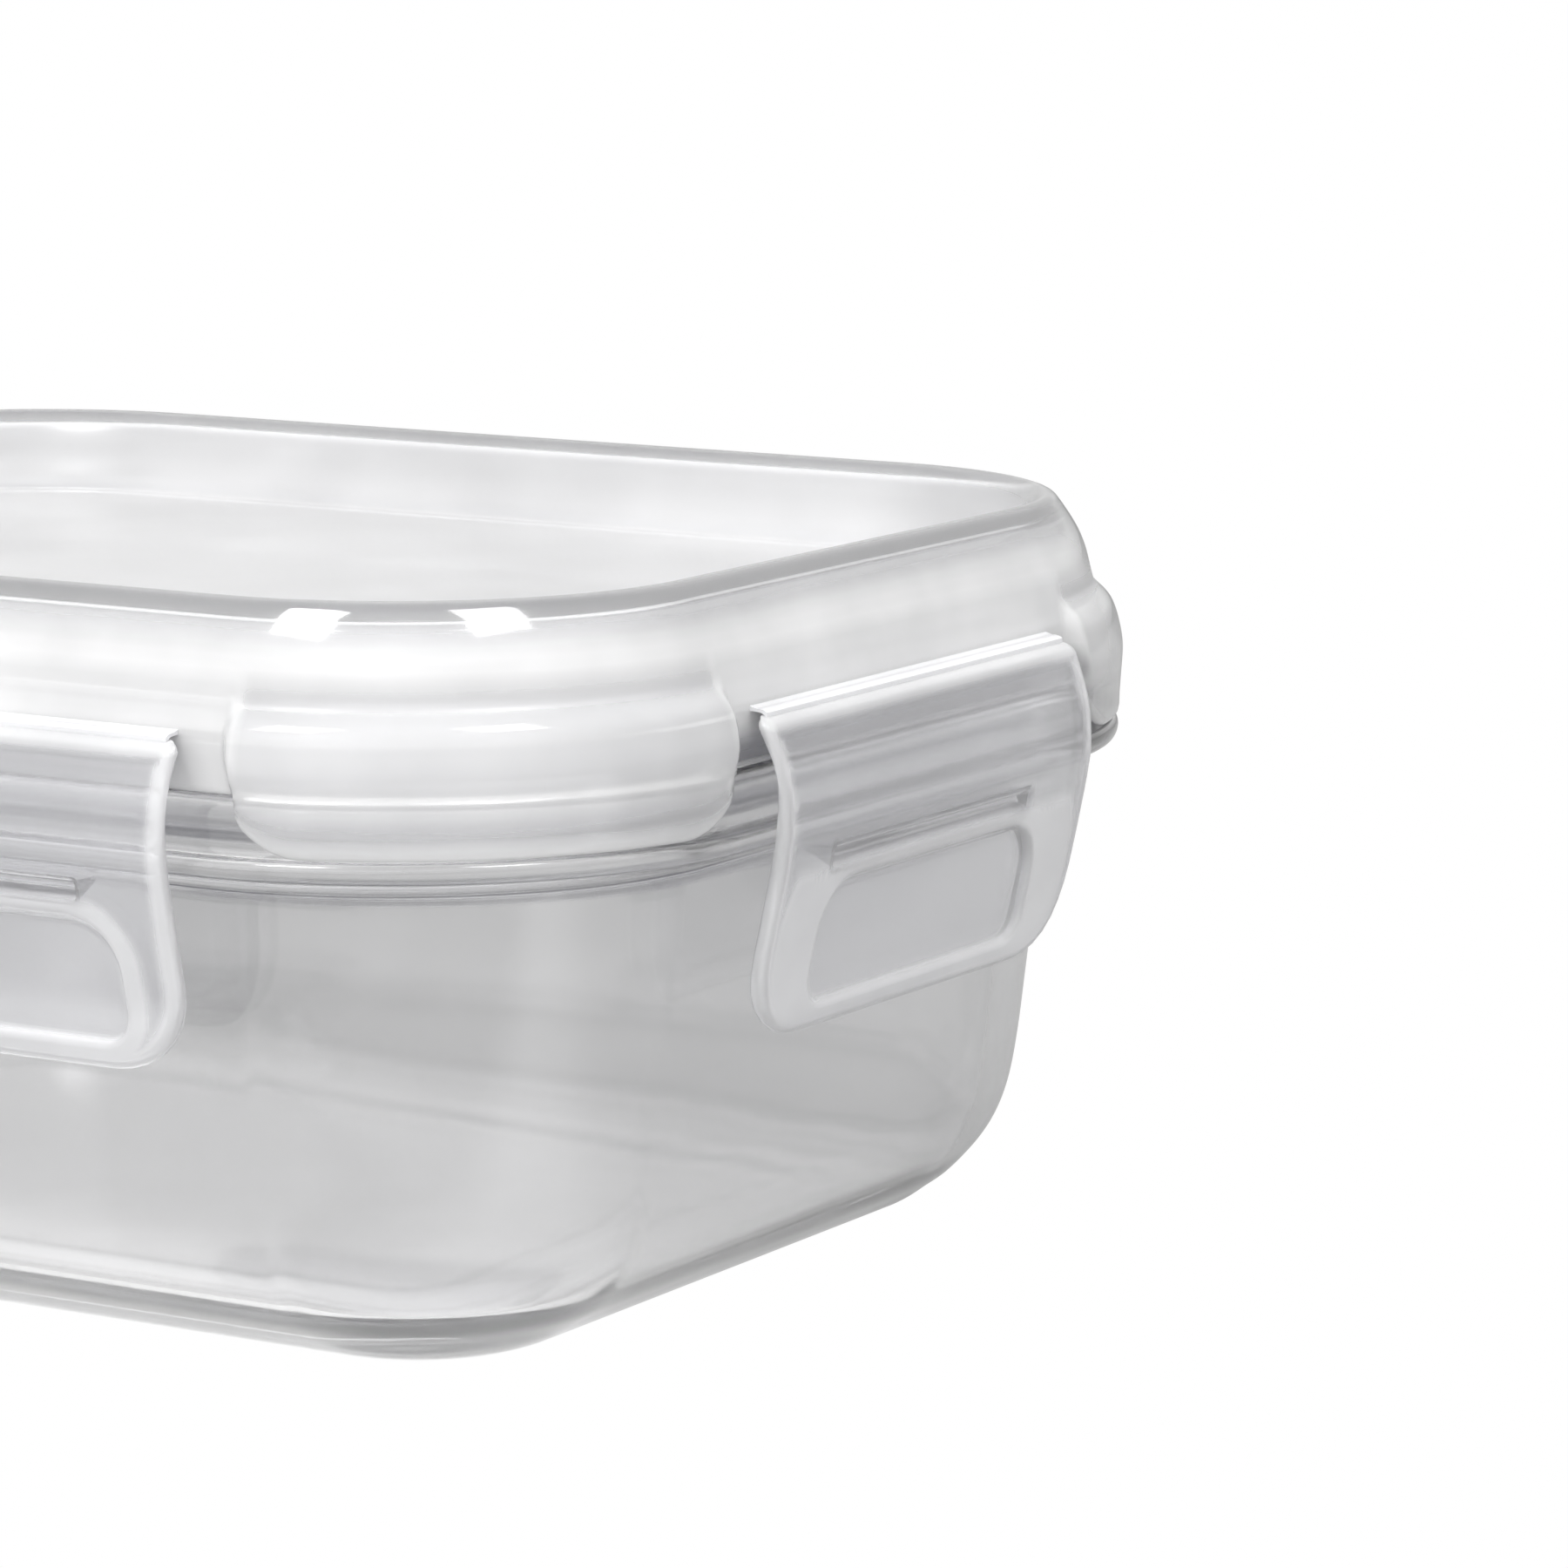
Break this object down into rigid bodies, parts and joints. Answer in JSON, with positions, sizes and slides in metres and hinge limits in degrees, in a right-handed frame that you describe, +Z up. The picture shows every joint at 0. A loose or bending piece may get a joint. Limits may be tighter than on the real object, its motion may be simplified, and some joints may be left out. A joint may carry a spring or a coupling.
{
  "type": "glass storage container",
  "caption": "Rectangular glass food container with rounded corners and a clear lid that seals on a silicone ring and locks with hinged side clips.",
  "frame": {"origin": "centre of the base, on the surface the container stands on", "axes": "+Z up; +X along the long side; -Y towards the front clip"},
  "size_m": [0.1604, 0.1304, 0.068],
  "materials": {
    "glass": "clear pressed borosilicate or tempered glass, polished",
    "lid_plastic": "clear moulded plastic, glossy",
    "seal_silicone": "grey translucent silicone, satin",
    "clip_plastic": "milky translucent moulded plastic, semi-gloss",
    "hinge_plastic": "thin translucent moulded plastic, semi-gloss"
  },
  "bodies": {
    "tub": {"glass_body": "glass"},
    "lid": {"lid": "lid_plastic", "seal_ring": "seal_silicone", "hinge_strip_front": "hinge_plastic", "hinge_strip_back": "hinge_plastic", "hinge_strip_left": "hinge_plastic", "hinge_strip_right": "hinge_plastic"},
    "front_clip": {"clip_front": "clip_plastic"},
    "back_clip": {"clip_back": "clip_plastic"},
    "left_clip": {"clip_left": "clip_plastic"},
    "right_clip": {"clip_right": "clip_plastic"}
  },
  "joints": [
    {"name": "lid_lift", "type": "slide", "parent": "tub", "child": "lid", "axis": [0, 0, 1], "range_m": [0, 0.2]},
    {"name": "front_clip_hinge", "type": "hinge", "parent": "lid", "child": "front_clip", "pos_m": [0, -0.0619, 0.05715], "axis": [-1, 0, 0], "range_deg": [0, 140]},
    {"name": "back_clip_hinge", "type": "hinge", "parent": "lid", "child": "back_clip", "pos_m": [0, 0.0619, 0.05715], "axis": [1, 0, 0], "range_deg": [0, 140]},
    {"name": "left_clip_hinge", "type": "hinge", "parent": "lid", "child": "left_clip", "pos_m": [-0.0769, 0, 0.05715], "axis": [0, 1, 0], "range_deg": [0, 140]},
    {"name": "right_clip_hinge", "type": "hinge", "parent": "lid", "child": "right_clip", "pos_m": [0.0769, 0, 0.05715], "axis": [0, -1, 0], "range_deg": [0, 140]}
  ]
}
